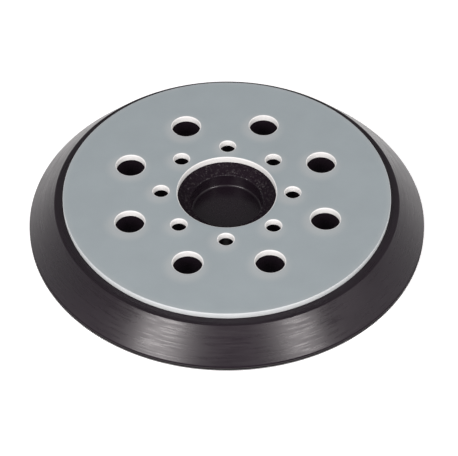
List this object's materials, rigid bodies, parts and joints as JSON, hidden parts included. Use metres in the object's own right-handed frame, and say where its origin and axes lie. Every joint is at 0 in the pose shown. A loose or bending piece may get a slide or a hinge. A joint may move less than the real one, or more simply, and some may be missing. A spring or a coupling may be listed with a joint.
{
  "type": "sander backing pad",
  "caption": "Round hook-faced backing pad for a random orbital sander: stiff plate on a bevelled foam body, with dust passages, screw holes and a hub recess.",
  "frame": {"origin": "centre of the sanding face, level with the hook tips", "axes": "+Z along the pad's axis, from the sanding face up to the sander; +X through the centre of one screw hole"},
  "size_m": [0.124, 0.124, 0.013],
  "materials": {
    "plate": "satin, slightly translucent, fibre-filled",
    "foam": "smooth moulded skin, torn cells round the recess",
    "film": "thin bonding film",
    "hooks": "dense plastic hooks on a cloth"
  },
  "bodies": {
    "root": {"backing_plate": "plate", "foam_body": "foam", "bond_film": "film", "hook_sheet": "hooks"}
  },
  "joints": []
}
